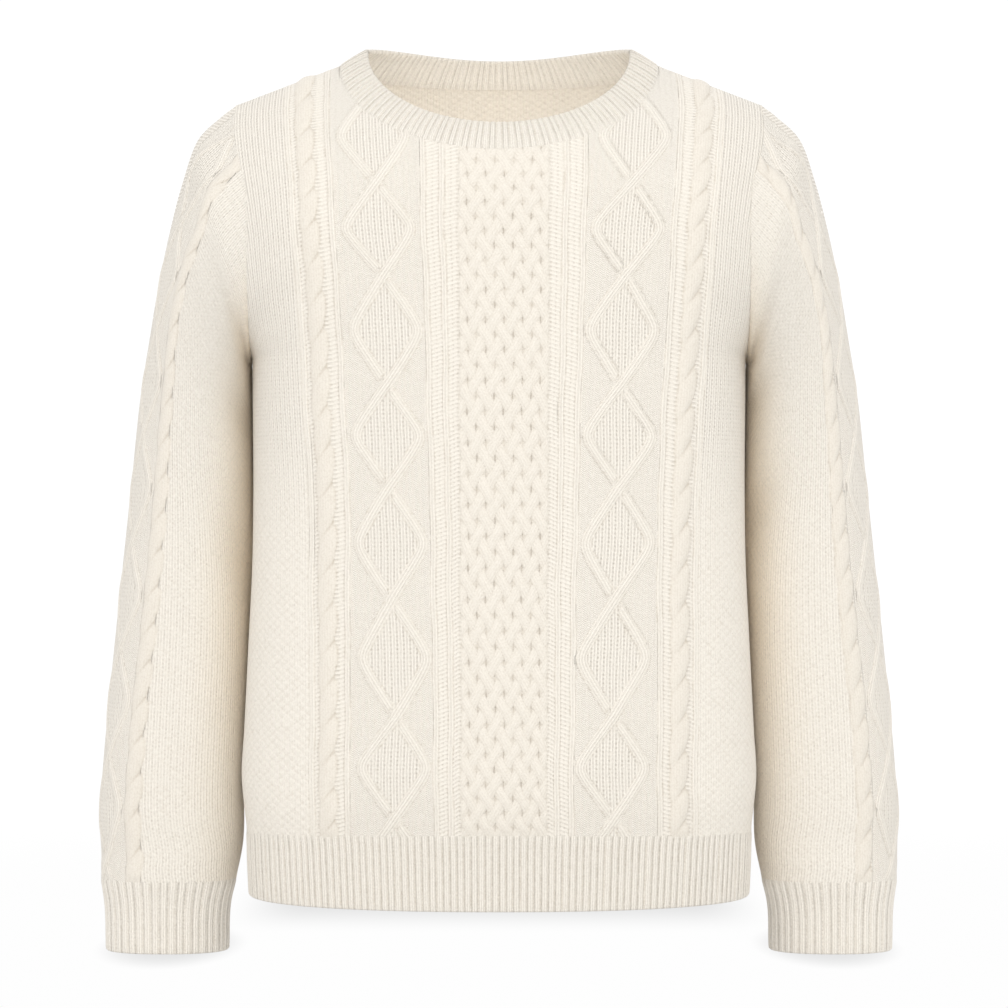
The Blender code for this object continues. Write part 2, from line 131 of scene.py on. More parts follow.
def sectionHalf(z):
    edge = level("half", z)
    below = np.clip((form["armholeWidest"] - z) / (form["armholeWidest"] - form["underarm"]), 0, 1)
    mouth = bow(edge / form["armholeSpan"], form["power"]) * np.sqrt(1 - below**2)
    return edge / (1 - mouth ** form["power"]) ** (1 / form["power"])


def shoulderLine(x):
    x, half = np.abs(x), form["neckHalf"]
    return shoulderFall * np.where(x < half, (half**2 - x**2) / (2 * half), half - x)


def roundOver(side, x, z):
    neckHeight, neckBlunt = rounding[side]
    across = np.clip(np.abs(x) / form["shoulderX"], 0, 1) ** 3
    height = neckHeight * (1 - across) + form["shoulderHeight"] * across
    blunt = neckBlunt * (1 - across) + form["shoulderBlunt"] * across
    rise = np.sin(math.pi / 2 * np.clip(shoulderLine(x) - z, 0, height) / height)
    return np.sqrt(rise * (blunt + (1 - blunt) * rise))


def bodyPoint(side, x, z):
    sunk = 0
    for foldX, foldZ, depth, reachX, reachZ, climb in bodyFolds:
        beside = np.abs(x) - foldX
        sunk = sunk + depth * np.exp(-((beside / reachX) ** 2) - ((z - foldZ - climb * beside) / reachZ) ** 2)
    full = bow(x / sectionHalf(z), form["power"]) * roundOver(side, x, z)
    y = (level(side, z) - sunk) * full
    return np.stack([x, y if side == "back" else -y, z], axis=-1)


def topLine(side, x):  # height of a panel's top edge over x: neckline, then shoulder seam
    reach = np.clip(np.abs(x) / form["neckHalf"], 0, 1)
    if side == "front":
        neck = -form["frontDrop"] * np.sqrt(1 - reach**2)
    else:
        neck = -form["backDrop"] * (1 - reach ** form["backReach"]) ** form["backBend"]
    return np.where(np.abs(x) < form["neckHalf"], neck, shoulderLine(x))


def lengths(points, axis):
    steps = np.linalg.norm(np.diff(points, axis=axis), axis=-1)
    start = np.zeros_like(np.take(steps, [0], axis=axis))
    return np.concatenate([start, np.cumsum(steps, axis=axis)], axis=axis)


arcSteps = {"up": 80, "round": 400, "even": 201}


def arcTable(side):  # below the shoulder: share of the arc to share of the width, and back
    heights = np.linspace(form["hemEnd"], form["armholeWidest"], arcSteps["up"])
    turn = np.sin(np.linspace(0, math.pi / 2, arcSteps["round"]))
    even = np.linspace(0, 1, arcSteps["even"])
    places, shares = [], []
    for z in heights:
        arc = lengths(bodyPoint(side, level("half", z) * turn, np.full_like(turn, z)), 0)
        places.append(np.interp(even, arc / arc[-1], turn))
        shares.append(np.interp(even, turn, arc / arc[-1]))
    return {"places": np.array(places), "shares": np.array(shares)}


def lookUp(table, z, across):
    rows, columns = table.shape
    row = np.clip((z - form["hemEnd"]) / (form["armholeWidest"] - form["hemEnd"]), 0, 1) * (rows - 1)
    column = np.clip(across, 0, 1) * (columns - 1)
    i, j = np.minimum(row.astype(int), rows - 2), np.minimum(column.astype(int), columns - 2)
    f, g = row - i, column - j
    low = table[i, j] * (1 - g) + table[i, j + 1] * g
    high = table[i + 1, j] * (1 - g) + table[i + 1, j + 1] * g
    return low * (1 - f) + high * f


arcs = {side: arcTable(side) for side in ("front", "back")}


def oval(rings, knots, around, at):  # x and y of a table's ring, and how far out from its middle
    ring = {name: through(knots, column, at) for name, column in rings.items()}
    turn = math.pi * np.abs(around)
    out = np.sign(np.cos(turn)) * np.abs(np.cos(turn)) ** (2 / form["sleevePower"])
    across = np.sign(around) * np.abs(np.sin(turn)) ** (2 / form["sleevePower"])
    x = (ring["outerX"] + ring["innerX"]) / 2 + (ring["outerX"] - ring["innerX"]) / 2 * out
    return x, ring["middle"] + ring["depth"] * across, ring, out


def sleeveOval(around, along):
    x, y, ring, out = oval(sleeveRings, np.linspace(0, 1, len(sleeveRings["depth"])), around, along)
    z = (ring["outerZ"] + ring["innerZ"]) / 2 + (ring["outerZ"] - ring["innerZ"]) / 2 * out
    return np.stack([x, y, z], axis=-1)


def armholePoint(around):
    middle = (form["shoulderZ"] + form["underarm"]) / 2
    z = middle + (form["shoulderZ"] - middle) * np.cos(math.pi * np.abs(around))
    x = level("half", z)
    return np.where((around < 0)[..., None], bodyPoint("front", x, z), bodyPoint("back", x, z))


def sleeveSurface(side, around, along):  # on the left, whichever side its folds are of
    fade = smooth(0, 1, 1 - along / form["armholeFade"])[..., None]
    start = armholePoint(around) - sleeveOval(around, np.zeros_like(along))
    points = sleeveOval(around, along) + start * fade
    middle = (sleeveOval(np.zeros_like(along), along) + sleeveOval(np.ones_like(along), along)) / 2
    sunk = 0
    for foldAlong, foldAround, depth, reachAlong, reachAround, climb in sleeveFolds[side]:
        beside = around - foldAround
        down = along - foldAlong - climb * beside
        sunk = sunk + depth * np.exp(-((beside / reachAround) ** 2) - (down / reachAlong) ** 2)
    ends = form["foldEnds"]
    for beyond, edge in ((along, "armhole"), (1 - along, "wrist"), (1 - np.abs(around), "seam")):
        sunk = sunk * np.clip(beyond / ends[edge], 0, 1)
    return points - unit(points - middle) * sunk[..., None]


def cuffSurface(around, z):
    x, y, _, _ = oval(cuffRings, cuffRings["z"], around, z)
    return np.stack([x, y, z], axis=-1)


# stitches and cables, as relief over the cloth
yarn = {"wale": 0.0050, "course": 0.0033}
textures = ("ladder", "chevron", "column", "moss", "braid", "rope", "cord")


def arch(offset, half, power=1.0):  # a soft cord's height over its width
    return np.cos(np.clip(offset / half, -1, 1) * math.pi / 2) ** power


class Knit:
    # one panel's relief, its stitch and cable coordinates, and the share of each texture
    def __init__(self, u, v):
        blank = np.zeros(u.shape)
        self.fields = {name: blank for name in ("height", "a", "b", "paintedTanShade") + textures}
        self.fields.update(u=u, v=v, plainU=u, plainV=v)

    def mirror(self):
        self.fields = {name: field[:, ::-1] for name, field in self.fields.items()}

    def lift(self, height, ease=0.0002):
        low = self.fields["height"]
        self.fields["height"] = (low + height + np.sqrt((low - height) ** 2 + ease**2) - ease) / 2

    def dress(self, texture, share, near=True, **coordinates):
        for name in textures:
            self.fields[name] = self.fields[name] * (1 - share)
        self.fields[texture] = self.fields[texture] + share
        for name, values in coordinates.items():
            self.fields[name] = np.where(near, values, self.fields[name])


rib = {"half": 0.0026, "height": 0.0009, "fade": 0.7, "reach": 1.4}


def layRib(knit, offset, along):
    side = np.abs(offset) / rib["half"]
    knit.lift(rib["height"] * arch(offset, rib["half"]))
    knit.dress("cord", smooth(1.0, rib["fade"], side), side < rib["reach"],
               a=offset / (2 * rib["half"]) + 0.5, b=along / yarn["course"])


def layRope(knit, offset, phase, rope):
    side = offset / rope["half"]
    lobe = phase - rope["slant"] * (np.clip(side, -1, 1) - 0.5)
    near = np.abs(lobe - np.round(lobe))  # 0.5 at a crossing
    pinch = np.where(side > 0, rope["pinch"], rope["farPinch"]) * smooth(rope["pinchFrom"], 0.5, near)
    rise = arch(side, 1 - pinch, rope["power"])
    deep = rope["creaseLeast"] + (1 - rope["creaseLeast"]) * smooth(-0.6, 0.5, side)
    tucked = rope["crease"] * smooth(rope["creaseFrom"], 0.5, near) * deep
    knit.lift(rope["height"] * rise * (1 - tucked))
    share = smooth(1.0, rope["fade"], np.abs(side) / (1 - pinch))
    knit.dress("rope", share, np.abs(side) < rope["reach"], a=side, b=lobe)


def layBraid(knit, x, z, braid, edge):
    spread = np.arcsin(braid["bend"] * np.clip(x / edge, -1, 1)) / math.asin(braid["bend"])
    spread = spread * braid["strands"] / 2
    climb = np.interp(z, braid["z"], 2.0 * np.arange(len(braid["z"]))) + 0.5
    p, q = spread + climb, spread - climb
    m, n = np.round(p), np.round(q)
    over = arch(p - m, 0.5, braid["power"]) * (1 + braid["weave"] * np.cos(math.pi * (q - m)))
    under = arch(q - n, 0.5, braid["power"]) * (1 - braid["weave"] * np.cos(math.pi * (p - n)))
    rim = smooth(1.0, braid["fade"], np.abs(x / edge))
    knit.lift(braid["height"] * np.maximum(over, under) * rim)
    knit.dress("braid", rim, np.abs(x) < braid["reach"] * edge, a=p, b=q)


def layDiamonds(knit, offset, phase, perMetre, along, diamond):
    swing = diamond["bend"] * np.sin(math.pi * phase)
    reach = diamond["reach"] * np.arcsin(swing) / math.asin(diamond["bend"])
    steep = diamond["reach"] * np.cos(math.pi * phase) * diamond["bend"] * math.pi * perMetre
    steep = steep / math.asin(diamond["bend"]) / np.sqrt(1 - swing**2)
    lean = 1 / np.sqrt(1 + steep**2)
    near = np.round(phase)
    turn = np.where(near % 2 == 0, 1.0, -1.0)
    over = np.exp(-(((phase - near) / diamond["lift"]) ** 2))
    within = smooth(1.0, diamond["insideFade"], np.abs(offset) / (np.abs(reach) + diamond["tip"]))
    knit.lift(diamond["inside"] * within)
    knit.dress("column", within)
    past = np.maximum(np.abs(offset) - diamond["reach"], 0)  # no cord lies past its widest turn
    first, second = (offset - turn * reach) * lean, (offset + turn * reach) * lean
    first, second = (np.sign(beside) * np.maximum(np.abs(beside), past) for beside in (first, second))
    half, cross = diamond["half"], diamond["cross"] * over
    clear = smooth(*diamond["clear"], np.abs(first) / half)
    for beside, raised, hidden in ((second, 1 - cross, clear), (first, 1 + cross, 1)):
        knit.lift(diamond["height"] * arch(beside, half, diamond["power"]) * raised)
        share = smooth(1.0, diamond["fade"], np.abs(beside) / half) * hidden
        knit.dress("cord", share, np.abs(beside) < diamond["cordReach"] * half,
                   a=beside / half, b=along / yarn["course"])


# cloth is a flat grid, thickened, whose outer face is divided finely and laid on the form
lining = {"column": 0.4, "moss": 0.6, "paintedTanShade": 0.08}  # what a coarse inner face shows, and the painted tan shade that every inner face takes
seamAngle = 70


def gridNormals(points):
    return unit(np.cross(np.gradient(points, axis=1), np.gradient(points, axis=0)))


def place(at):  # orders the flat grid's points, so that they come the same on every run
    return 1e8 * at.z + 1e4 * at.y + at.x


def putIn(name, data):
    item = bpy.data.objects.new(name, data)
    bpy.context.scene.collection.objects.link(item)
    return item


def makeCloth(name, points, knit, wall, cells, inside=None, edge=None, lap=0):
    # inside is the relief of an inner face that is as fine as the outer one
    rows, columns = points.shape[0] - 1, points.shape[1] - 1
    work = bmesh.new()
    bmesh.ops.create_grid(work, x_segments=columns // cells, y_segments=rows // cells, size=1)
    bmesh.ops.solidify(work, geom=work.faces[:], thickness=1)
    middle = sum(vertex.co.z for vertex in work.verts) / len(work.verts)
    top = {vertex for vertex in work.verts if vertex.co.z > middle}
    fine = [e for e in work.edges if (e.verts[0] in top) == (e.verts[1] in top)
            and (inside is not None or e.verts[0] in top)]
    bmesh.ops.subdivide_edges(work, edges=fine, cuts=cells - 1, use_grid_fill=True)
    work.verts.sort(key=lambda vertex: place(vertex.co))
    work.faces.sort(key=lambda face: place(face.calc_center_median()))
    mesh = bpy.data.meshes.new(name)
    work.to_mesh(mesh)
    work.free()
    flat = np.empty(len(mesh.vertices) * 3)
    mesh.vertices.foreach_get("co", flat)
    flat = flat.reshape(-1, 3)
    i = np.rint((flat[:, 1] + 1) / 2 * rows).astype(int)
    j = np.rint((flat[:, 0] + 1) / 2 * columns).astype(int)
    outside = flat[:, 2] > middle
    normals, height = gridNormals(points), knit.fields["height"]
    thin = np.zeros_like(height) if edge is None else edge
    under = np.zeros_like(height) if inside is None else inside
    outer = points + normals * (height - wall / 2 * thin)[..., None]
    inner = points - normals * (wall * (1 - thin / 2) + under)[..., None]
    inner[0] += unit(points[0] - points[1]) * lap  # the inner face reaches past the seam
    mesh.vertices.foreach_set("co", np.where(outside[:, None], outer[i, j], inner[i, j]).ravel())
    knitted = outside | (inside is not None)

    def pick(field, plain):  # a coarse inner face has plain values
        return np.where(knitted, knit.fields[field][i, j], plain)

    u = pick("u", knit.fields["plainU"][i, j])
    v = pick("v", knit.fields["plainV"][i, j])
    # painted tan shade: the knit's share on the outer face, a little on every inner face
    paintedTanShade = mesh.attributes.new("paintedTanShade", "FLOAT", "POINT")
    paintedTanShade.data.foreach_set("value", np.where(outside, knit.fields["paintedTanShade"][i, j], lining["paintedTanShade"]))
    for attribute, values in {
        "stitch": (u, v, np.where(outside, height[i, j], under[i, j]) * 1000),
        "ground": (pick("ladder", 0), pick("chevron", 0), pick("column", lining["column"])),
        "cable": (pick("a", 0), pick("b", 0), pick("moss", lining["moss"])),
        "weave": (pick("braid", 0), pick("rope", 0), pick("cord", 0)),
    }.items():
        layer = mesh.attributes.new(attribute, "FLOAT_VECTOR", "POINT")
        layer.data.foreach_set("vector", np.stack(values, axis=-1).ravel())
    mesh.update()
    mesh.calc_loop_triangles()
    mesh.shade_smooth()
    mesh.set_sharp_from_angle(angle=math.radians(seamAngle))  # a seam's rim doesn't darken the face beside it
    print(name, len(mesh.loop_triangles), "triangles")
    return putIn(name, mesh)


# front and back panels
panel = {
    "halfColumns": 165, "rows": 285, "cells": 5, "wall": 0.0025, "ground": -0.0004, "seam": 0.006,
    "shift": {"front": 0.0038, "back": 0.0}, "shiftFade": 0.75, "side": 0.0004,
    "mossFrom": -0.27, "mossTo": -0.40, "moss": 0.5, "topRows": 20, "rowSteps": 300,
    "calm": {"slope": 0.7, "drop": 0.012, "reach": 4}, "search": (-0.3, 0.02), "halvings": 40,
    "wander": {"by": 0.0006, "turn": 67, "start": 1.3, "swell": 23},
    "fieldEdge": (0.0015, 0.0035), "sideEdge": (0.001, 0.003),
}

# where the knitted columns lie in the front view, by height, and the fine columns given to each
chart = {
    "z": (-0.5781, -0.5012, -0.4243, -0.3473, -0.2704, -0.1935, -0.1165, -0.0396),
    "braid": (0.0346, 0.0346, 0.0350, 0.0354, 0.0358, 0.0361, 0.0365, 0.0369),
    "innerRib": (0.0408, 0.0411, 0.0419, 0.0431, 0.0446, 0.0461, 0.0481, 0.0490),
    "middleRib": (0.0519, 0.0527, 0.0538, 0.0554, 0.0573, 0.0596, 0.0623, 0.0640),
    "diamond": (0.0846, 0.0838, 0.0861, 0.0888, 0.0900, 0.0923, 0.0980, 0.1040),
    "outerRib": (0.1209, 0.1209, 0.1209, 0.1213, 0.1248, 0.1290, 0.1337, 0.1400),
    "rope": (0.1358, 0.1359, 0.1365, 0.1377, 0.1413, 0.1455, 0.1513, 0.1580),
    "sideRib": (0.1486, 0.1489, 0.1493, 0.1497, 0.1540, 0.1583, 0.1641, 0.1720),
    "sideFoot": (0.1528, 0.1531, 0.1535, 0.1539, 0.1582, 0.1625, 0.1683, 0.1762),
}
chartColumns = {"braid": 32, "innerRib": 38, "middleRib": 50, "diamond": 80, "outerRib": 109, "rope": 125,
                "sideRib": 137, "sideFoot": 141}

braid = {"strands": 5.2, "bend": 0.45, "weave": 0.34, "power": 0.8, "height": 0.0021, "fade": 0.93,
         "reach": 1.15,
         "z": (-0.6537, -0.6104, -0.5661, -0.5204, -0.4725, -0.4242, -0.3755, -0.3273, -0.2795, -0.2318,
               -0.1859, -0.1404, -0.0962, -0.0522, -0.0082)}
diamond = {"reach": 0.0246, "half": 0.0046, "height": 0.0014, "bend": 0.97, "lift": 0.13, "inside": 0.0004,
           "insideFade": 0.8, "tip": 0.0005, "cross": 0.15, "clear": (1.15, 1.6), "power": 0.9, "fade": 0.75,
           "cordReach": 1.1, "perMetre": 12.2,
           "z": (-0.6755, -0.5935, -0.5143, -0.4243, -0.3373, -0.2589, -0.1742, -0.1019, -0.026, 0.05)}
rope = {"half": 0.0084, "height": 0.0023, "power": 0.85, "slant": 0.36, "pinch": 0.34, "farPinch": 0.136,
        "pinchFrom": 0.15, "crease": 0.72, "creaseFrom": 0.22, "creaseLeast": 0.20, "fade": 0.8,
        "reach": 1.15, "pitch": 0.0300,
        "z": (-0.6246, -0.5961, -0.5707, -0.5423, -0.513, -0.4846, -0.4569, -0.4269, -0.3961, -0.3653,
              -0.3353, -0.3038, -0.2746, -0.2446, -0.2145, -0.1861, -0.1576, -0.1307, -0.1061, -0.0807,
              -0.0553, -0.0261, 0.0031)}


def chartX(name, z):
    return through(chart["z"], chart[name], z)


def columnX(side, column, z):
    x, last, at = np.zeros_like(z), 0, 0.0
    for name, upTo in chartColumns.items():
        here = chartX(name, z)
        x = x + (here - at) * np.clip((np.abs(column) - last) / (upTo - last), 0, 1)
        last, at = upTo, here
    half = level("half", z)
    past = np.clip((np.abs(column) - last) / (panel["halfColumns"] - last), 0, 1)
    share = lookUp(arcs[side]["shares"], z, at / half)
    beyond = lookUp(arcs[side]["places"], z, share + (1 - share) * past) * half
    x = np.where(past > 0, beyond, x)
    shift = panel["shift"][side] * (1 - smooth(panel["shiftFade"], 1.0, x / half))
    return np.sign(column) * x + shift


def calmTop(x, top):  # a gentle line close under the top edge, for the rows to follow
    slope, drop, reach = panel["calm"].values()
    calm = (top[None, :] + slope * np.abs(x[:, None] - x[None, :])).min(axis=1)
    even = np.ones(2 * reach + 1) / (2 * reach + 1)
    return np.convolve(np.pad(calm, reach, "edge"), even, "valid") - drop


def evenHeights(side, columns, low, high, count):  # from low to high, evenly along the cloth
    z = low + (high - low) * np.sin(np.linspace(0, math.pi / 2, panel["rowSteps"]))[:, None]
    along = lengths(bodyPoint(side, columnX(side, np.broadcast_to(columns, z.shape), z), z), 0)
    even = np.linspace(0, 1, count + 1)
    heights = [np.interp(even * reach[-1], reach, column) for reach, column in zip(along.T, z.T)]
    return np.stack(heights, axis=1)


def panelPoints(side):
    columns = np.arange(-panel["halfColumns"], panel["halfColumns"] + 1.0)
    low, high = (np.full_like(columns, z) for z in panel["search"])
    for _ in range(panel["halvings"]):  # the height at which each column meets the top edge
        z = (low + high) / 2
        above = z > topLine(side, columnX(side, columns, z))
        low, high = np.where(above, low, z), np.where(above, z, high)
    bottom = form["ribTop"] + form["ribRise"] * (1 - (columns / panel["halfColumns"]) ** 2)
    calm = calmTop(columnX(side, columns, low), low)
    z = np.concatenate([evenHeights(side, columns, bottom, calm, panel["rows"] - panel["topRows"]),
                        evenHeights(side, columns, calm, low, panel["topRows"])[1:]])
    column = np.broadcast_to(columns, z.shape)
    points = bodyPoint(side, columnX(side, column, z), z)
    return column, points, lengths(points, 0)


def ladderEdges(at):  # the feet of what stands beside each ladder, and the purl stitches between them
    foot, half = rib["half"], rope["half"]
    return ((at("braid"), at("innerRib") - foot, 2), (at("innerRib") + foot, at("middleRib") - foot, 2),
            (at("outerRib") + foot, at("rope") - half, 1), (at("rope") + half, at("sideRib") - foot, 1))


def ladderSteps(away, edges):
    return sum(stitches * np.clip((away - near) / (far - near), 0, 1) for near, far, stitches in edges)


def panelKnit(side, column, points, along):
    x, z = points[..., 0] - panel["shift"][side], points[..., 2]
    wander, turn, start, swell = panel["wander"].values()
    x = x + wander * np.sin(turn * z + start) * np.cos(swell * z)
    away = np.abs(x)
    across = lengths(points, 1)
    across = np.abs(across - across[:, [panel["halfColumns"]]])
    knit = Knit(across / yarn["wale"], along / yarn["course"])
    knit.fields["ladder"] = np.ones_like(x)
    knit.fields["u"] = ladderSteps(away, ladderEdges(lambda name: chartX(name, z)))
    offset = away - chartX("diamond", z)
    fromRib = np.minimum(away - chartX("middleRib", z), chartX("outerRib", z) - away)
    field = smooth(*panel["fieldEdge"], fromRib)
    knit.dress("chevron", field, field > 0, u=offset / yarn["wale"] + 0.5)
    sideStart = across[:, [panel["halfColumns"] + chartColumns["sideRib"]]]
    beyond = smooth(*panel["sideEdge"], across - sideStart)
    knit.lift((panel["side"] - panel["ground"]) * beyond)
    knit.dress("column", beyond, across > sideStart, u=(across - sideStart) / yarn["wale"])
    knit.dress("moss", beyond * panel["moss"] * smooth(panel["mossFrom"], panel["mossTo"], z))
    layBraid(knit, x, z, braid, chartX("braid", z))
    for name in ("innerRib", "middleRib", "outerRib", "sideRib"):
        layRib(knit, away - chartX(name, z), along)
    phase = np.interp(z, diamond["z"], np.arange(-1, len(diamond["z"]) - 1))
    hand = np.where(x < 0, -1, 1)  # crossings lean the same way on both halves
    layDiamonds(knit, offset * hand, phase, diamond["perMetre"], along, diamond)
    ropePhase = np.interp(z, rope["z"], np.arange(len(rope["z"]))) + 0.5
    layRope(knit, (away - chartX("rope", z)) * hand, ropePhase, rope)
    fromEdge = np.minimum(along, along[-1] - along)
    edgeAcross = across.max(axis=1, keepdims=True) - across
    finishRelief(knit, np.minimum(fromEdge, edgeAcross))
    return knit


def finishRelief(knit, fromSeam):
    knit.fields["height"] = (knit.fields["height"] + panel["ground"]) * smooth(0, panel["seam"], fromSeam)


pieces = {}
for side in ("front", "back"):
    column, points, along = panelPoints(side)
    knit = panelKnit(side, column, points, along)
    if side == "back":
        knit.mirror()
        points = points[:, ::-1]
    pieces[side] = makeCloth(side + "_panel", points, knit, panel["wall"], panel["cells"])


# sleeves; rope says how far round from the outer middle it lies, from the armhole to the wrist
sleeve = {
    "halfColumns": 110, "rows": 360, "cells": 5, "featureColumns": 76, "pastRope": 0.0145, "wall": 0.0025,
    "along": (0, 0.12, 0.20, 0.30, 0.38, 0.46, 0.55, 0.62, 0.70, 0.78, 0.86, 0.93, 1),
    "rope": (0.082, 0.088, 0.092, 0.083, 0.077, 0.077, 0.0735, 0.070, 0.066, 0.062, 0.060, 0.057, 0.056),
    "diamondIn": 0.0318, "fieldEdge": (0.0245, 0.0225), "side": 0.0004, "sideEdge": (0.0055, 0.0072),
    "ladderEnd": 0.012, "moss": 0.30, "ropeStart": {"left": 0.11, "right": 0.58}, "lap": 0.00025,
    "tuck": 0.0015, "tuckZ": (-0.2372, -0.2445, -0.380, -0.440), "tuckAround": (0.75, 0.95),
    # painted shade: the sleeve's inner side, beside the body, takes a tan tint of this share, fading round
    # from the middle and down towards the wrist
    "paintedTanShade": 0.62, "tanShadeAround": (0.50, 1.0), "tanShadeZ": (-0.62, -0.40), "tanShadeLeast": 0.35,
    "lengthSteps": 600, "roundSteps": 500,
}
sleeveDiamond = dict(diamond, reach=0.0185, half=0.0042, pitch=0.0855, start=-1.187)


def sleevePoints(side):
    dense = np.linspace(0, 1, sleeve["lengthSteps"])
    outer = lengths(sleeveSurface(side, np.zeros_like(dense), dense), 0)
    along = np.interp(np.linspace(0, outer[-1], sleeve["rows"] + 1), outer, dense)
    half = np.arange(0, sleeve["halfColumns"] + 1.0)
    features = sleeve["featureColumns"]
    past = (half - features) / (sleeve["halfColumns"] - features)
    turn = np.linspace(0, 1, sleeve["roundSteps"])
    around, arcsOut = [], []
    for t in along:
        row, rowArc = [], []
        reach = float(through(sleeve["along"], sleeve["rope"], t)) + sleeve["pastRope"]
        for way in (-1, 1):
            arc = lengths(sleeveSurface(side, way * turn, np.full_like(turn, t)), 0)
            want = np.where(past > 0, reach + (arc[-1] - reach) * past, reach * half / features)
            row.append(way * np.interp(want, arc, turn))
            rowArc.append(way * want)
        around.append(np.concatenate([row[0][:0:-1], row[1]]))
        arcsOut.append(np.concatenate([rowArc[0][:0:-1], rowArc[1]]))
    around = np.array(around)
    points = sleeveSurface(side, around, np.broadcast_to(along[:, None], around.shape))
    above, high, low, below = sleeve["tuckZ"]
    z, behind = points[..., 2], np.abs(around)
    inward = smooth(*sleeve["tuckAround"], behind) * smooth(above, high, z) * smooth(below, low, z)
    points = points - inward[..., None] * (sleeve["tuck"], 0, 0)  # lies close beside the body
    # painted shade: a tan tint on the inner side, where the sleeve lies in the body's shadow, weaker towards
    # the wrist
    low = sleeve["tanShadeLeast"] + (1 - sleeve["tanShadeLeast"]) * smooth(*sleeve["tanShadeZ"], z)
    shade = smooth(*sleeve["tanShadeAround"], behind) * low
    points, arcsOut = points[::-1], np.array(arcsOut)[::-1]
    points[-1] = points[-1] + unit(points[-1] - points[-2]) * sleeve["lap"]  # closes the seam at the armhole
    return points, arcsOut, lengths(points, 0), along[::-1, None], shade[::-1] * sleeve["paintedTanShade"]


def sleeveKnit(side, points, arc, along, share):
    away = np.abs(arc)
    hand = np.where(arc < 0, -1, 1) * {"left": 1, "right": -1}[side]
    half, reach = rope["half"], sleeveDiamond["reach"]
    ropeAt = np.broadcast_to(through(sleeve["along"], sleeve["rope"], share), arc.shape)
    diamondAt = ropeAt - sleeve["diamondIn"]
    knit = Knit(away / yarn["wale"], along / yarn["course"])
    knit.fields["ladder"] = np.ones_like(arc)
    ladders = ((diamondAt + reach, ropeAt - half, 1), (ropeAt + half, ropeAt + sleeve["ladderEnd"], 1))
    knit.fields["u"] = ladderSteps(away, ladders)
    offset = away - diamondAt
    field = smooth(*sleeve["fieldEdge"], np.abs(offset))
    knit.dress("chevron", field, field > 0, u=offset / yarn["wale"] + 0.5)
    beyond = smooth(*sleeve["sideEdge"], away - ropeAt)  # from under the rope
    knit.lift((sleeve["side"] - panel["ground"]) * beyond)
    knit.dress("column", beyond, beyond > 0, u=away / yarn["wale"])
    knit.dress("moss", beyond * sleeve["moss"])
    layRib(knit, away, along)
    phase = along / sleeveDiamond["pitch"] + sleeveDiamond["start"]
    layDiamonds(knit, offset * hand, phase, 1 / sleeveDiamond["pitch"], along, sleeveDiamond)
    ropePhase = along / rope["pitch"] + sleeve["ropeStart"][side]
    layRope(knit, (away - ropeAt) * hand, ropePhase, rope)
    edge = np.minimum(np.minimum(along, along[-1] - along), away.max(axis=1, keepdims=True) - away)
    finishRelief(knit, edge)
    return knit


for side in ("left", "right"):
    points, arc, along, share, shade = sleevePoints(side)
    knit = sleeveKnit(side, points, arc, along, share)
    # the sleeve's painted tan shade
    knit.fields["paintedTanShade"] = shade
    if side == "right":
        points = points[:, ::-1] * (-1, 1, 1)
        knit.mirror()
    pieces["sleeve_" + side] = makeCloth("knit_sleeve_" + side, points, knit, sleeve["wall"], sleeve["cells"])


# ribs of the hem, cuffs and neckband
ribbing = {"height": 0.0011, "sink": 0.00045, "wall": 0.0030, "power": 0.38, "ridge": (0.15, 0.55),
           "cord": 0.62, "fade": 0.004, "roundRows": 3, "endReach": 0.002, "endLeast": 0.5}


def ribKnit(turns, along, fade):
    wave = np.clip(0.5 + 0.5 * np.cos(2 * math.pi * turns), 0, 1) ** ribbing["power"]
    knit = Knit(turns, along / yarn["course"])
    knit.fields["height"] = (ribbing["height"] * wave - ribbing["sink"]) * fade
    ridge = smooth(*ribbing["ridge"], wave)
    knit.fields["cord"], knit.fields["ladder"] = ridge, 1 - ridge
    knit.fields["a"] = (turns - np.round(turns)) / ribbing["cord"] + 0.5
    knit.fields["b"] = knit.fields["v"]
    return knit


def freeEdge(distance, wall):  # 0 in the cloth, 1 at the very end of a rounded edge
    into = np.clip(1 - distance / (wall / 2), 0, 1)
    return 1 - np.sqrt(1 - into**2)


def towardsEdge(rows, height, wall):  # distances from the free edge, closer together on its rounding
    bends = ribbing["roundRows"]
    bend = wall / 2 * (1 - np.sin(np.linspace(0, math.pi / 2, bends + 1)))[::-1]
    flat = np.linspace(wall / 2, height, rows - bends + 1)
    return np.concatenate([bend[:-1], flat])


hem = {"ribs": 96, "perRib": 8, "rows": 20, "cells": 4}


def hemPoints(side):
    shares = np.linspace(-1, 1, hem["ribs"] * hem["perRib"] + 1)
    top = form["ribTop"] + form["ribRise"] * (1 - shares**2)
    end = form["hemEnd"] + form["hemRise"] * shares**2
    height = top - end
    down = towardsEdge(hem["rows"], 1, ribbing["wall"] / height.mean())[:, None]
    z = end + height * down
    share = np.broadcast_to(shares, z.shape)
    x = np.sign(share) * lookUp(arcs[side]["places"], z, np.abs(share)) * level("half", z)
    return share, bodyPoint(side, x, z), height * down


def ribFade(fromEdge, reach=ribbing["fade"]):  # ribs die away at the seam and a little at the free edge
    least = ribbing["endLeast"]
    end = least + (1 - least) * smooth(0, ribbing["endReach"], fromEdge)
    return smooth(0, reach, fromEdge.max(axis=0) - fromEdge) * end


def makeRib(node, points, turns, fromEdge, cells, mirrored):
    knit = ribKnit(turns, fromEdge, ribFade(fromEdge))
    edge = freeEdge(fromEdge, ribbing["wall"])
    if mirrored:
        points, edge = points[:, ::-1], edge[:, ::-1]
        knit.mirror()
    pieces[node] = makeCloth("rib_" + node, points, knit, ribbing["wall"], cells, knit.fields["height"], edge)


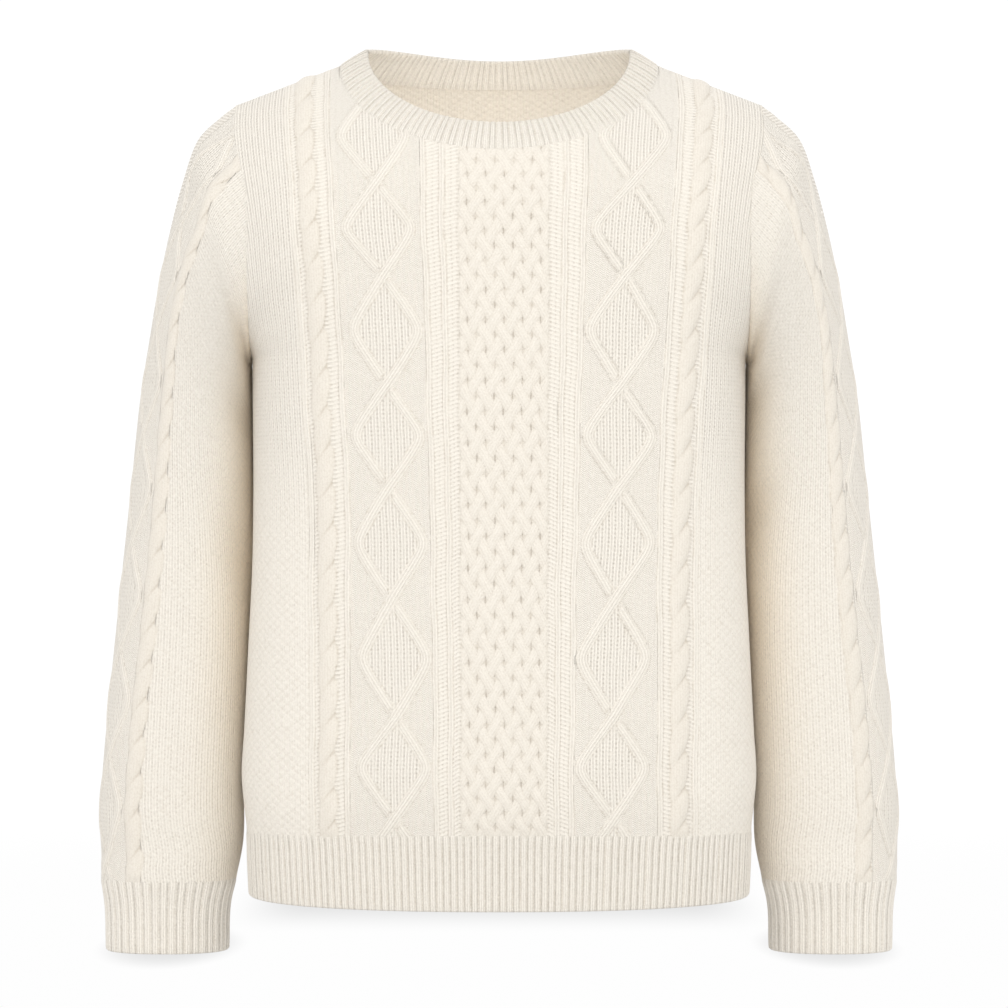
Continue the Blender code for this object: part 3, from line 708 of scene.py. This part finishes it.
for side in ("front", "back"):
    share, points, fromEdge = hemPoints(side)
    makeRib("hem_" + side, points, share * hem["ribs"] / 2 + 0.5, fromEdge, hem["cells"], side == "back")

cuff = {"ribs": 44, "perRib": 8, "rows": 20, "cells": 4, "roundSteps": 1200}


def cuffPoints():
    dense = np.linspace(-1, 1, cuff["roundSteps"])
    turns = np.linspace(0, 1, cuff["ribs"] * cuff["perRib"] + 1)
    down = towardsEdge(cuff["rows"], cuffRings["z"][-1] - cuffRings["z"][0], ribbing["wall"])
    rows = []
    for height in down:
        z = cuffRings["z"][0] + height
        arc = lengths(cuffSurface(dense, np.full_like(dense, z)), 0)
        around = np.interp(turns, arc / arc[-1], dense)
        rows.append(cuffSurface(around, np.full_like(around, z)))
    shape = (len(down), len(turns))
    return np.array(rows), np.broadcast_to(turns, shape), np.broadcast_to(down[:, None], shape)


for side in ("left", "right"):
    points, turns, fromEdge = cuffPoints()
    if side == "right":
        points = points * (-1, 1, 1)
    makeRib("cuff_" + side, points, turns * cuff["ribs"], fromEdge, cuff["cells"], side == "right")

band = {"halfWidth": 0.1048, "front": 0.090, "back": 0.068, "sideZ": 0.0134, "frontDrop": 0.0666,
        "backDrop": 0.0012, "backRise": 0.0117, "bulge": 0.0012, "wall": 0.0036,
        "ribs": 136, "perRib": 6, "rows": 24, "cells": 3, "height": 0.0010,
        "chain": 0.0004, "chainAt": 0.0030, "chainHalf": 0.0020, "taper": 0.0007, "taperOver": 0.0060,
        "lap": 0.0022, "fade": 0.003, "roundSteps": 4001}


def bandCurves(turn):  # turn is 0 at the front's middle, +-pi at the back's
    front = np.abs(turn) < math.pi / 2
    out, ahead = np.sin(turn), np.abs(np.cos(turn))
    x = form["neckHalf"] * out
    seamFront = bodyPoint("front", x, -form["frontDrop"] * ahead)
    reach = np.abs(out) ** form["backReach"]
    seamBack = bodyPoint("back", x, -form["backDrop"] * np.clip(1 - reach, 0, 1) ** form["backBend"])
    wide, fall = band["halfWidth"] * out, -band["frontDrop"] * ahead
    rise = (band["backRise"] * out**2 - band["backDrop"]) * ahead
    topFront = np.stack([wide, -band["front"] * ahead, band["sideZ"] + fall], -1)
    topBack = np.stack([wide, band["back"] * ahead, band["sideZ"] + rise], -1)
    return np.where(front[:, None], seamFront, seamBack), np.where(front[:, None], topFront, topBack)


def bandPoints():
    dense = np.linspace(-math.pi, math.pi, band["roundSteps"])
    seam, top = bandCurves(dense)
    arc = lengths((seam + top) / 2, 0)
    turns = np.linspace(0, 1, band["ribs"] * band["perRib"] + 1)
    seam, top = bandCurves(np.interp(turns, arc / arc[-1], dense))
    height = float(np.linalg.norm(top - seam, axis=-1).mean())
    down = towardsEdge(band["rows"], height, band["wall"])[::-1]
    up = (1 - down / height)[:, None, None]
    outward = unit(seam * (1, 1, 0))
    points = seam * (1 - up) + top * up + outward * 4 * band["bulge"] * up * (1 - up)
    shape = points.shape[:2]
    return points, np.broadcast_to(turns, shape), np.broadcast_to(down[:, None], shape)


points, turns, fromEdge = bandPoints()
knit = ribKnit(turns * band["ribs"], fromEdge, ribFade(fromEdge, band["fade"]))
knit.fields["height"] = knit.fields["height"] * band["height"] / ribbing["height"]
fromSeam = fromEdge.max(axis=0) - fromEdge
linking = band["chain"] * arch(fromSeam - band["chainAt"], band["chainHalf"])  # the linked seam, inside
taper = band["taper"] * smooth(band["taperOver"], 0, fromSeam)  # down to the panel's thickness at the seam
inside = np.maximum(knit.fields["height"], linking) - taper
pieces["neckband"] = makeCloth("rib_neckband", points, knit, band["wall"], band["cells"], inside,
                               freeEdge(fromEdge, band["wall"]), band["lap"])
print("cloth laid:", len(pieces), "pieces")


wool = {
    # the first cream is the yarn's own; the second is the same cream painted lighter for the ribs
    "light": (0.868, 0.819, 0.738, 1), "ribPaintedLighter": (0.908, 0.858, 0.774, 1),
    # the painted shade colour that the stitches darken towards, and the painted tan shade of the sleeves'
    # inner sides and the inner faces
    "paintedShade": (0.63, 0.565, 0.475, 1), "paintedTanShade": (1.0, 0.80, 0.54, 1),
    "roughness": 0.85, "sheen": 0.25, "sheenRoughness": 0.5, "specular": 0.2, "bump": 0.0006,
    "fuzzScale": 700, "driftScale": 150, "swayScale": 260, "sway": 0.16, "stray": 4.0,
}

# what each mark of the stitches does: to the bump's height, and how far its colour goes towards the painted
# shade colour; that darkening is painted shade in the gaps, holes, grooves, feet and crossings, and the
# constant share on ladder, cord, braid and rope evens out how brightly the lamps light them; only the fuzz's
# share is random tone
marks = {
    "ladder": (0, 0.05), "rung": (0.6, 0.10), "rungDots": (0.4, 0.24), "fineRow": (0.6, 0.06),
    "leg": (1, 0.08), "dots": (0.5, 0.28), "moss": (0.8, 0.36), "seed": (0.8, 0),
    "cord": (0.25, 0.04), "cordLeg": (0.75, 0.12), "cordFoot": (0, 0.30),
    "braid": (0.9, 0.20), "strandLeg": (0.30, 0.05), "hole": (0.7, 0.46), "overlap": (0.20, 0.07),
    "sunk": (0.4, 0.12), "rope": (0.7, 0.28), "ropeLeg": (0.25, 0.06), "crossing": (0.5, 0.40),
    "hollow": (0.3, 0.06), "ropeFoot": (0, 0.24), "fuzz": (0.35, 0.24), "low": (0, 0.03), "groove": (0, 0.07),
}


def fill(node, values):  # sets a node's inputs, or links them to other nodes' outputs
    for name, value in values.items():
        if isinstance(value, bpy.types.NodeSocket):
            node.id_data.links.new(value, node.inputs[name])
        else:
            node.inputs[name].default_value = value
    return node


class Calculator:
    # short ways to set a node tree's arithmetic down
    def __init__(self, tree):
        self.nodes = tree.nodes

    def read(self, attribute):
        node = self.nodes.new("ShaderNodeAttribute")
        node.attribute_name = attribute
        return node.outputs

    def split(self, socket):
        return fill(self.nodes.new("ShaderNodeSeparateXYZ"), {0: socket}).outputs

    def calc(self, operation, *values):
        node = self.nodes.new("ShaderNodeMath")
        node.operation = operation
        return fill(node, dict(enumerate(values))).outputs[0]

    def repeat(self, operation, values):
        total = values[0]
        for value in values[1:]:
            total = self.calc(operation, total, value)
        return total

    def add(self, *values):
        return self.repeat("ADD", values)

    def times(self, *values):
        return self.repeat("MULTIPLY", values)

    def less(self, first, second):
        return self.calc("SUBTRACT", first, second)

    def mix(self, share, first, second):
        node = self.nodes.new("ShaderNodeMix")
        node.data_type = "RGBA"
        return fill(node, {"Factor": share, "A": first, "B": second}).outputs["Result"]

    def noise(self, where, scale, detail):
        node = self.nodes.new("ShaderNodeTexNoise")
        return fill(node, {"Vector": where, "Scale": scale, "Detail": detail}).outputs["Fac"]

    def fromWhole(self, value):  # distance to the nearest whole number, 0 to 0.5
        return self.calc("ABSOLUTE", self.less(self.calc("FRACT", self.add(value, 0.5)), 0.5))

    def ramp(self, value, zeroAt, oneAt):
        node = self.nodes.new("ShaderNodeMapRange")
        node.interpolation_type = "SMOOTHSTEP"
        (low, first), (high, last) = sorted(((zeroAt, 0), (oneAt, 1)))
        fill(node, {"Value": value, "From Min": low, "From Max": high, "To Min": first, "To Max": last})
        return node.outputs["Result"]

    def wave(self, value):  # 1 at whole numbers, 0 halfway
        return self.add(0.5, self.times(0.5, self.calc("COSINE", self.times(value, 2 * math.pi))))


def stitchGroup():
    group = bpy.data.node_groups.new("stitches", "ShaderNodeTree")
    for name in ("Stitch", "Ground", "Cable", "Weave"):
        group.interface.new_socket(name, in_out="INPUT", socket_type="NodeSocketVector")
    for name in ("Height", "Shade"):
        group.interface.new_socket(name, in_out="OUTPUT", socket_type="NodeSocketFloat")
    given, result = group.nodes.new("NodeGroupInput"), group.nodes.new("NodeGroupOutput")
    c = Calculator(group)
    u, v, rise = c.split(given.outputs["Stitch"])
    ladder, chevron, column = c.split(given.outputs["Ground"])
    a, b, moss = c.split(given.outputs["Cable"])
    braidShare, ropeShare, cordShare = c.split(given.outputs["Weave"])

    def knitStitch(across, along):  # two slanted legs to a wale, and the gap between wales
        gap = c.fromWhole(across)
        leg = c.ramp(c.fromWhole(c.times(across, 2)), 0.0, 0.3)
        lap = c.wave(c.add(along, c.times(gap, -1.2)))
        return c.times(leg, c.add(0.75, c.times(0.25, lap))), gap

    where = group.nodes.new("ShaderNodeTexCoord").outputs["Object"]
    fuzz = c.noise(where, wool["fuzzScale"], 3)
    drift = c.noise(where, wool["driftScale"], 2)
    uneven = c.add(0.35, c.times(1.2, c.ramp(drift, 0.34, 0.66)))  # stitches are never all alike
    sway = c.times(wool["sway"], c.less(c.noise(where, wool["swayScale"], 1), 0.5))

    rung = c.ramp(c.fromWhole(c.add(v, c.times(u, 0.35), sway)), 0.0, 0.35)
    rungDots = c.times(c.ramp(c.fromWhole(c.add(u, sway)), 0.22, 0.05), c.less(1, rung))
    dip = c.times(0.45, c.calc("COSINE", c.times(u, 2 * math.pi)))
    fineRow = c.ramp(c.fromWhole(c.add(c.times(v, 2), dip, sway)), 0.0, 0.4)
    legs, gap = knitStitch(c.add(u, c.times(0.5, sway)), c.add(v, sway))
    dots = c.times(c.ramp(gap, 0.20, 0.06), c.ramp(c.fromWhole(c.add(v, sway)), 0.28, 0.10))
    stray = c.times(wool["stray"], sway)
    seed = c.times(c.calc("SINE", c.times(c.add(u, stray), math.pi)),
                   c.calc("SINE", c.times(c.less(v, stray), math.pi)))
    cordLegs, _ = knitStitch(a, b)

    # the braid: two families of strands, over and under in turn, with small dark openings between; the
    # openings, the overlaps and the sunk parts are darkened by painted shade
    m, n = c.calc("ROUND", a), c.calc("ROUND", b)
    besideP, besideQ = c.less(a, m), c.less(b, n)
    overP = c.times(c.calc("COSINE", c.times(besideP, math.pi)),
                    c.add(1, c.times(braid["weave"], c.calc("COSINE", c.times(c.less(b, m), math.pi)))))
    overQ = c.times(c.calc("COSINE", c.times(besideQ, math.pi)),
                    c.less(1, c.times(braid["weave"], c.calc("COSINE", c.times(c.less(a, n), math.pi)))))
    isP = c.calc("GREATER_THAN", overP, overQ)
    beside = c.add(c.times(besideP, isP), c.times(besideQ, c.less(1, isP)))
    strandLegs = c.ramp(c.fromWhole(c.times(beside, 5)), 0.0, 0.3)
    holeP, holeQ = c.less(c.calc("FRACT", a), 0.5), c.less(c.calc("FRACT", b), 0.5)
    lean = c.times(0.8, sway)
    holeX, holeZ = c.times(c.add(holeP, holeQ, lean), 10.5), c.times(c.less(holeP, holeQ), 4.2)
    hole = c.times(c.ramp(c.add(c.times(holeX, holeX), c.times(holeZ, holeZ)), 1.0, 0.1), uneven)
    overlap = c.ramp(c.calc("ABSOLUTE", c.less(overP, overQ)), 0.42, 0.0)
    sunk = c.ramp(c.calc("MAXIMUM", overP, overQ), 0.95, 0.25)

    # the rope: lobes one above the other, with painted shade at each crossing and in its hollows
    crossing = c.times(c.ramp(c.less(0.5, c.fromWhole(b)), 0.09, 0.0), c.ramp(a, -0.7, 0.4))
    hollow = c.times(c.ramp(c.less(0.5, c.fromWhole(b)), 0.26, 0.0), c.ramp(c.calc("ABSOLUTE", a), 0.1, 0.8))
    ropeLegs = c.ramp(c.fromWhole(c.times(a, 4)), 0.0, 0.3)

    def tall(name, *values):
        return c.times(marks[name][0], *values)

    def dark(name, *values):
        return c.times(marks[name][1], *values)

    height = c.add(
        c.times(ladder, c.less(tall("rung", rung), tall("rungDots", rungDots))),
        c.times(chevron, tall("fineRow", fineRow)), c.times(column, c.less(legs, tall("dots", dots))),
        c.times(moss, c.add(marks["moss"][0], tall("seed", seed))),
        c.times(cordShare, c.add(marks["cord"][0], tall("cordLeg", cordLegs))),
        c.times(braidShare, c.less(c.add(marks["braid"][0], tall("strandLeg", strandLegs)),
                                   c.add(tall("hole", hole), tall("overlap", overlap), tall("sunk", sunk)))),
        c.times(ropeShare, c.less(c.add(marks["rope"][0], tall("ropeLeg", ropeLegs)),
                                  c.add(tall("crossing", crossing), tall("hollow", hollow)))),
        tall("fuzz", fuzz))
    # painted shade along the feet of the cords and the ropes
    foot = c.times(4, cordShare, c.less(1, cordShare))
    ropeFoot = c.times(4, ropeShare, c.less(1, ropeShare))
    shade = c.add(
        c.times(ladder, c.add(marks["ladder"][1], dark("rung", c.less(1, rung)),
                              dark("rungDots", rungDots, uneven))),
        c.times(chevron, dark("fineRow", c.less(1, fineRow))),
        c.times(column, c.add(dark("dots", dots, uneven), dark("leg", c.less(1, legs)))),
        dark("moss", moss, c.ramp(seed, 0.1, -0.9), uneven),
        c.times(cordShare, c.add(marks["cord"][1], dark("cordLeg", c.less(1, cordLegs)))),
        c.times(braidShare, c.add(marks["braid"][1], dark("hole", hole), dark("overlap", overlap),
                                  dark("sunk", sunk), dark("strandLeg", c.less(1, strandLegs)))),
        c.times(ropeShare, c.add(marks["rope"][1], dark("crossing", crossing), dark("hollow", hollow),
                                 dark("ropeLeg", c.less(1, ropeLegs)))),
        dark("cordFoot", foot, c.add(0.4, c.times(0.6, rung)), uneven), dark("ropeFoot", ropeFoot, uneven),
        dark("fuzz", c.ramp(fuzz, 0.62, 0.30)), dark("low", c.ramp(rise, 0.2, -0.5)),
        dark("groove", c.ramp(rise, -0.42, -0.66)))
    fill(result, {"Height": height, "Shade": c.calc("MINIMUM", shade, 1)})
    return group


stitches = stitchGroup()


def woolMaterial(title, light):
    material = bpy.data.materials.new(title)
    material.use_nodes = True
    m = Calculator(material.node_tree)
    group = m.nodes.new("ShaderNodeGroup")
    group.node_tree = stitches
    for name in ("stitch", "ground", "cable", "weave"):
        fill(group, {name.capitalize(): m.read(name)["Vector"]})
    # the cream takes the painted tan shade by its attribute
    cream = m.mix(m.read("paintedTanShade")["Fac"], light, wool["paintedTanShade"])
    bump = fill(m.nodes.new("ShaderNodeBump"),
                {"Distance": wool["bump"], "Strength": 1, "Height": group.outputs["Height"]})
    # the base colour is the cream, darkened by the stitches' painted shade
    fill(m.nodes["Principled BSDF"], {
        "Base Color": m.mix(group.outputs["Shade"], cream, wool["paintedShade"]), "Normal": bump.outputs["Normal"],
        "Roughness": wool["roughness"], "Sheen Weight": wool["sheen"],
        "Sheen Roughness": wool["sheenRoughness"], "Specular IOR Level": wool["specular"]})
    return material


# the rib knit uses the same cream, painted lighter
materials = {"cable_knit": woolMaterial("cream cable knit", wool["light"]),
             "rib_knit": woolMaterial("cream rib knit", wool["ribPaintedLighter"])}

# what each lies as, flat, seams left out: longest course and wale, and area
cloth = {
    "cable_knit": {"front": ((0.540, 0.661), 0.288), "back": ((0.529, 0.664), 0.301),
                   "sleeve_left": ((0.388, 0.644), 0.198), "sleeve_right": ((0.388, 0.644), 0.198)},
    "rib_knit": {"hem_front": ((0.524, 0.060), 0.0293), "hem_back": ((0.515, 0.060), 0.0288),
                 "cuff_left": ((0.318, 0.059), 0.0171), "cuff_right": ((0.318, 0.059), 0.0171),
                 "neckband": ((0.737, 0.031), 0.0183)},
}
for slot, sheets in cloth.items():
    for node, (flat, area) in sheets.items():
        piece = pieces[node]
        piece.data.materials.append(materials[slot])
        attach(piece, "root")
        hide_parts(node)

# the floor's cuff and hem shadows are painted: its glow is dimmed by place, whatever the lamps do
studio = {"floorZ": -0.7105, "floorSize": 14, "glow": 0.43, "floorGrey": 0.40,
          "whiteNear": 0.99, "whiteFar": 1.05, "whiteFrom": 0.7, "whiteTo": 2.5,
          "cuffShadow": {"dark": 0.22, "x": 0.267, "y": 0.06, "reachX": 0.064, "reachY": 0.17},
          "hemShadow": {"dark": 0.22, "front": (0.14, 0.40), "back": (0.70, 0.42), "aside": (0.245, 0.17)},
          "world": 1.00, "backdrop": 1.05, "lampsAim": (0, 0, -0.35),
          "lamps": {"frontLeft": ((-1.9, -2.8, 0.9), 1.6, 10.5), "frontRight": ((2.0, -2.7, 0.5), 1.6, 8),
                    "front": ((0.1, -3.6, 0.35), 1.2, 20), "above": ((0.0, -1.2, 2.4), 1.4, 1),
                    "behind": ((0.6, 3.2, 1.8), 1.6, 9)},
          "inside": ((0, -0.03, -0.24), 0.12, 0.24), "insideAim": (0, 0.08, -0.02)}

work = bmesh.new()
bmesh.ops.create_grid(work, x_segments=1, y_segments=1, size=studio["floorSize"] / 2)
bmesh.ops.translate(work, verts=work.verts[:], vec=(0, 0, studio["floorZ"]))
floorMesh = bpy.data.meshes.new("floor")
work.to_mesh(floorMesh)
work.free()
floor = putIn("floor", floorMesh)
paper = bpy.data.materials.new("white paper")
paper.use_nodes = True
p = Calculator(paper.node_tree)
floorX, floorY, _ = p.split(p.nodes.new("ShaderNodeTexCoord").outputs["Object"])
aside = p.calc("ABSOLUTE", floorX)
# painted shadows: soft dark patches on the floor under the cuffs and behind the hem, set by place
cuffFoot, hemFoot = studio["cuffShadow"], studio["hemShadow"]
besideCuff = p.times(p.less(aside, cuffFoot["x"]), 1 / cuffFoot["reachX"])
behindCuff = p.times(p.less(floorY, cuffFoot["y"]), 1 / cuffFoot["reachY"])
underCuff = p.ramp(p.add(p.times(besideCuff, besideCuff), p.times(behindCuff, behindCuff)), 1.0, 0.0)
underHem = p.times(p.ramp(floorY, *hemFoot["front"]), p.ramp(floorY, *hemFoot["back"]),
                   p.ramp(aside, *hemFoot["aside"]))
away = p.calc("SQRT", p.add(p.times(floorX, floorX), p.times(floorY, floorY)))
far = p.ramp(away, studio["whiteFrom"], studio["whiteTo"])
shadow = p.add(p.times(cuffFoot["dark"], underCuff), p.times(hemFoot["dark"], underHem))
white = p.less(p.add(studio["whiteNear"], p.times(studio["whiteFar"] - studio["whiteNear"], far)), shadow)
seen = p.nodes.new("ShaderNodeLightPath").outputs["Is Camera Ray"]
glow = p.add(p.times(seen, white), p.times(p.less(1, seen), studio["glow"]))
bounce = p.times(p.less(1, seen), studio["floorGrey"])  # the camera sees the glow alone
fill(p.nodes["Principled BSDF"], {"Base Color": bounce, "Roughness": 1, "Specular IOR Level": 0,
                                  "Emission Color": (1, 1, 1, 1), "Emission Strength": glow})
floorMesh.materials.append(paper)

world = bpy.data.worlds.new("studio white")
bpy.context.scene.world = world
world.use_nodes = True
sky = world.node_tree.nodes
seen = sky.new("ShaderNodeLightPath").outputs["Is Camera Ray"]
strength = fill(sky.new("ShaderNodeMapRange"),
                {"Value": seen, "To Min": studio["world"], "To Max": studio["backdrop"]})
fill(sky["Background"], {"Color": (1, 1, 1, 1), "Strength": strength.outputs["Result"]})

studio["lamps"]["inside"] = studio["inside"]  # a small lamp in the body lights the back of the neck
for name, (at, size, power) in studio["lamps"].items():
    lamp = bpy.data.lights.new(name, "AREA")
    lamp.size, lamp.energy = size, power
    holder = putIn(name, lamp)
    holder.location = at
    aim = np.array(studio["insideAim" if name == "inside" else "lampsAim"]) - np.array(at)
    holder.rotation_euler = (math.acos(-aim[2] / np.linalg.norm(aim)), 0, math.atan2(-aim[0], aim[1]))

view = {"distance": 3.0, "height": -0.3504, "width": 0.8064, "aside": 5 / 1008, "sensor": 36}
lens = bpy.data.cameras.new("camera")
lens.sensor_width = view["sensor"]
lens.lens = view["sensor"] * view["distance"] / view["width"]
lens.shift_x = view["aside"]
camera = putIn("camera", lens)
camera.location = (0, -view["distance"], view["height"])
camera.rotation_euler = (math.pi / 2, 0, 0)
bpy.context.scene.camera = camera
bpy.context.scene.view_settings.view_transform = "Standard"
print("studio set")
